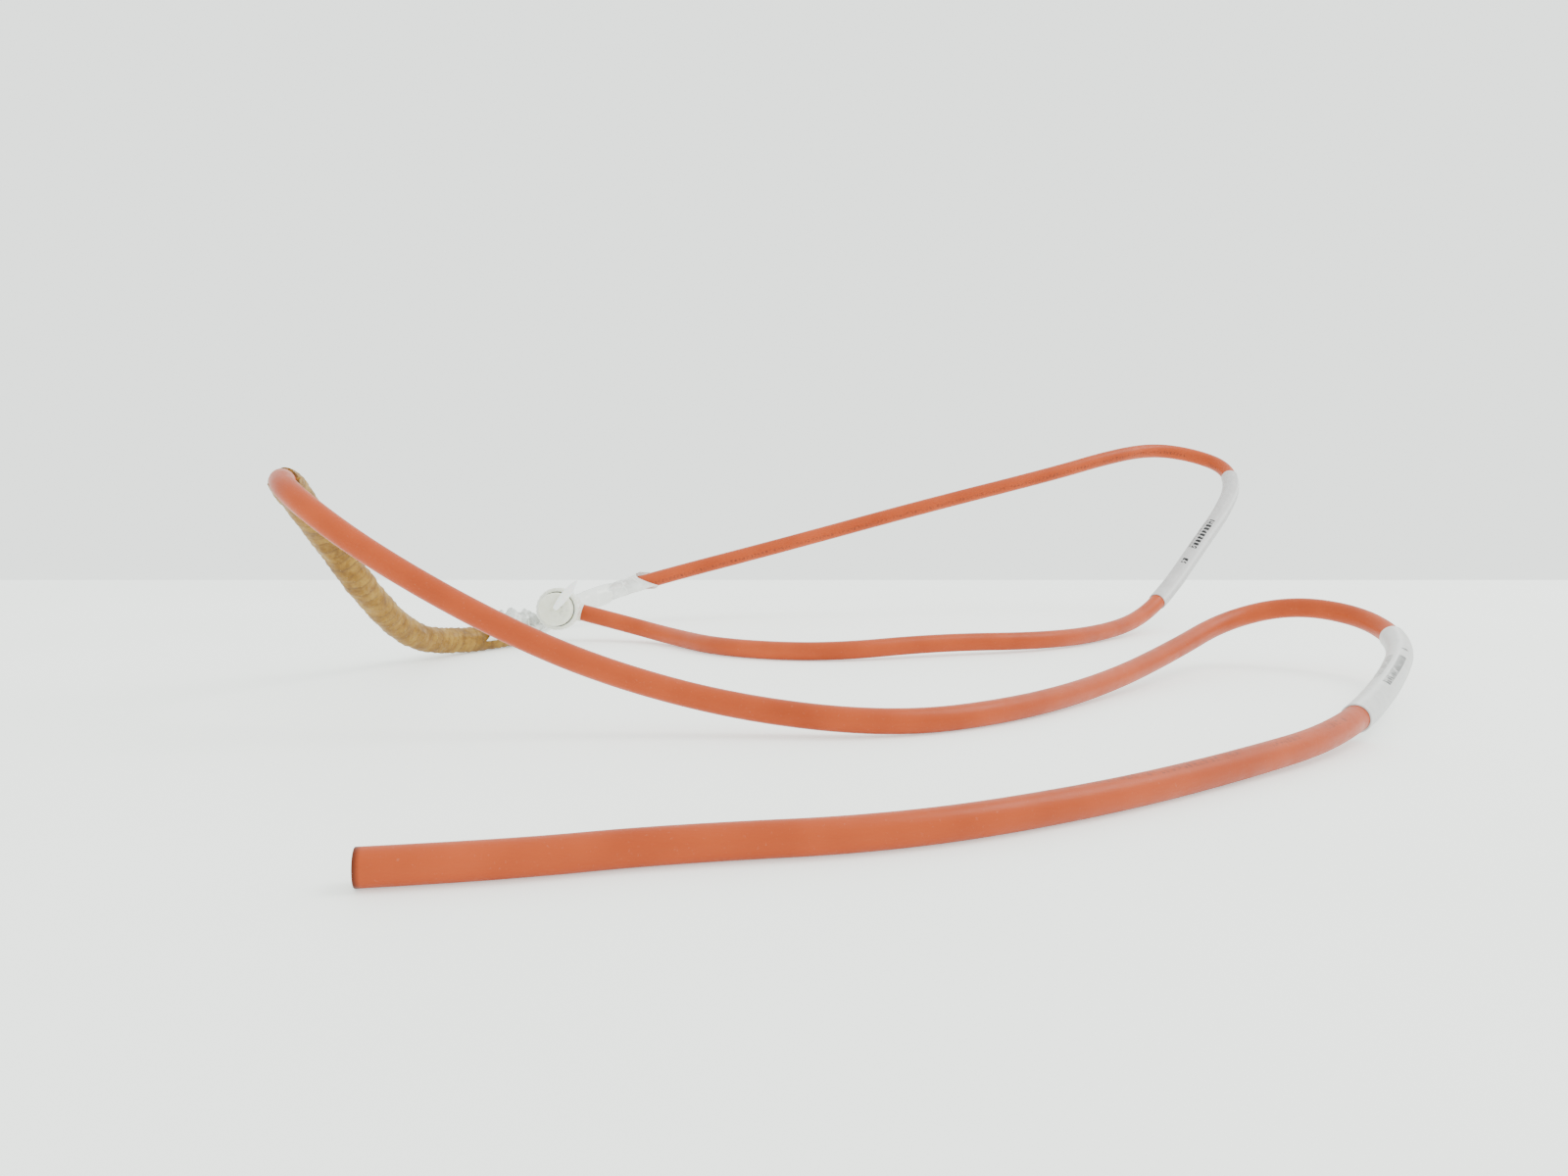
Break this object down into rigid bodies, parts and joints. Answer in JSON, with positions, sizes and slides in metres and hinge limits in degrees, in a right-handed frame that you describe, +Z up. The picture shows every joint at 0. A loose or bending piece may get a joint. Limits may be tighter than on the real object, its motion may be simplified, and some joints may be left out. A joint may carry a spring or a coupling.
{
  "type": "fiber optic patch cord",
  "caption": "Orange jacketed fibre optic cord lying in loose loops, bare at one end, with label sleeves, a taped guard sleeve and a capped right-angle plug.",
  "frame": {"origin": "centre of the lying cord's footprint, on the surface it lies on", "axes": "+Z up, +Y from the bare end's side towards the far loop, +X to the right seen from the bare end's side"},
  "size_m": [0.3306, 0.3929, 0.0745],
  "materials": {
    "orange_jacket": "satin",
    "aramid_yarn": "fibrous",
    "black_buffer": "matte",
    "clear_fibre": "polished",
    "label_white": "satin",
    "guard_sleeve": "matte",
    "amber_tape": "translucent film",
    "clear_film": "clear crumpled film",
    "milky_plastic": "satin",
    "plated_metal": "nickel plated",
    "spring_steel": "drawn wire",
    "ceramic": "polished ceramic",
    "seal_rubber": "matte"
  },
  "bodies": {
    "cord_and_plug": {"outer_jacket": "orange_jacket", "strength_yarn": "aramid_yarn", "inner_buffer": "black_buffer", "optical_fibre": "clear_fibre", "label_sleeve_1": "label_white", "label_sleeve_2": "label_white", "guard_sleeve": "guard_sleeve", "amber_tape": "amber_tape", "film_tuft": "clear_film", "film_sleeve": "clear_film", "film_strips": "clear_film", "plug_housing": "milky_plastic", "back_cover": "milky_plastic", "crimp_tube": "plated_metal", "fibre_tail": "clear_fibre", "nose_barrel": "plated_metal", "spring_stop": "plated_metal", "ferrule_spring": "spring_steel", "seal_ring": "seal_rubber", "retaining_clip": "spring_steel"},
    "coupling_ring": {"coupling_ring": "milky_plastic"},
    "ferrule": {"ferrule_holder": "plated_metal", "ferrule": "ceramic"},
    "dust_cap": {"dust_cap": "milky_plastic", "pull_tab": "milky_plastic"}
  },
  "joints": [
    {"name": "coupling_turn", "type": "hinge", "parent": "cord_and_plug", "child": "coupling_ring", "pos_m": [-0.11527, 0.0787, 0.01195], "axis": [-0.0119, -0.9976, 0.0675], "continuous": true},
    {"name": "ferrule_press", "type": "slide", "parent": "cord_and_plug", "child": "ferrule", "axis": [-0.0119, -0.9976, 0.0675], "range_m": [-0.0012, 0], "stiffness_N_per_m": 800, "springref_m": 0.001},
    {"name": "cap_pull", "type": "slide", "parent": "cord_and_plug", "child": "dust_cap", "axis": [-0.0119, -0.9976, 0.0675], "range_m": [0, 0.02]}
  ]
}
